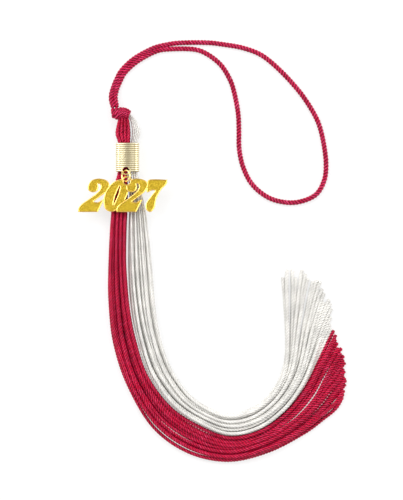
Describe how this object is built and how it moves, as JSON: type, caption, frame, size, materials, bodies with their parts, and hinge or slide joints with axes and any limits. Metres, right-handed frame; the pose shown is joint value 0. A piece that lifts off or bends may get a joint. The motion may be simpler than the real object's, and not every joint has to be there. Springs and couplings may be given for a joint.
{
  "type": "graduation tassel",
  "caption": "Two-colour twisted-strand graduation tassel with a long hanging loop, a ribbed metal band and a year charm on a jump ring.",
  "frame": {"origin": "middle of the band's flat back, on the surface that the tassel lies on", "axes": "+Y along the band towards the knot and the hanging cord, +Z out of the tassel's front, +X to the right seen from the front"},
  "size_m": [0.118, 0.1856, 0.0094],
  "materials": {
    "band_gold": "pale gold plate over fine ribs, satin bright",
    "ring_gold": "polished gold plate",
    "charm_gold": "polished rims round matt sparkling faces",
    "cord": "twisted rayon cord with a silky sheen",
    "crimson_yarn": "twisted rayon yarn with a silky sheen",
    "white_yarn": "twisted rayon yarn with a silky sheen"
  },
  "bodies": {
    "tassel": {"band": "band_gold", "hanging_cord": "cord", "knot_left_turns": "cord", "knot_right_turns": "cord", "knot_core": "cord", "crimson_strand_01": "crimson_yarn", "crimson_strand_02": "crimson_yarn", "crimson_strand_03": "crimson_yarn", "crimson_strand_04": "crimson_yarn", "crimson_strand_05": "crimson_yarn", "crimson_strand_06": "crimson_yarn", "crimson_strand_07": "crimson_yarn", "crimson_strand_08": "crimson_yarn", "crimson_strand_09": "crimson_yarn", "crimson_strand_10": "crimson_yarn", "crimson_strand_11": "crimson_yarn", "crimson_strand_12": "crimson_yarn", "crimson_strand_13": "crimson_yarn", "crimson_strand_14": "crimson_yarn", "crimson_strand_15": "crimson_yarn", "crimson_strand_16": "crimson_yarn", "crimson_strand_17": "crimson_yarn", "crimson_strand_18": "crimson_yarn", "crimson_strand_19": "crimson_yarn", "white_strand_01": "white_yarn", "white_strand_02": "white_yarn", "white_strand_03": "white_yarn", "white_strand_04": "white_yarn", "white_strand_05": "white_yarn", "white_strand_06": "white_yarn", "white_strand_07": "white_yarn", "white_strand_08": "white_yarn", "white_strand_09": "white_yarn", "white_strand_10": "white_yarn", "white_strand_11": "white_yarn", "white_strand_12": "white_yarn", "white_strand_13": "white_yarn", "white_strand_14": "white_yarn", "white_strand_15": "white_yarn", "white_strand_16": "white_yarn", "white_strand_17": "white_yarn", "white_strand_18": "white_yarn", "white_strand_19": "white_yarn"},
    "jump_ring": {"jump_ring": "ring_gold"},
    "charm": {"charm": "charm_gold"}
  },
  "joints": [
    {"name": "ring_swing", "type": "hinge", "parent": "tassel", "child": "jump_ring", "pos_m": [-0.0006, -0.0058, 0.00737], "axis": [-1, 0, 0], "range_deg": [0, 25]},
    {"name": "charm_swing", "type": "hinge", "parent": "jump_ring", "child": "charm", "pos_m": [-0.00014, -0.01052, 0.00779], "axis": [-1, 0, 0], "range_deg": [0, 45]}
  ]
}
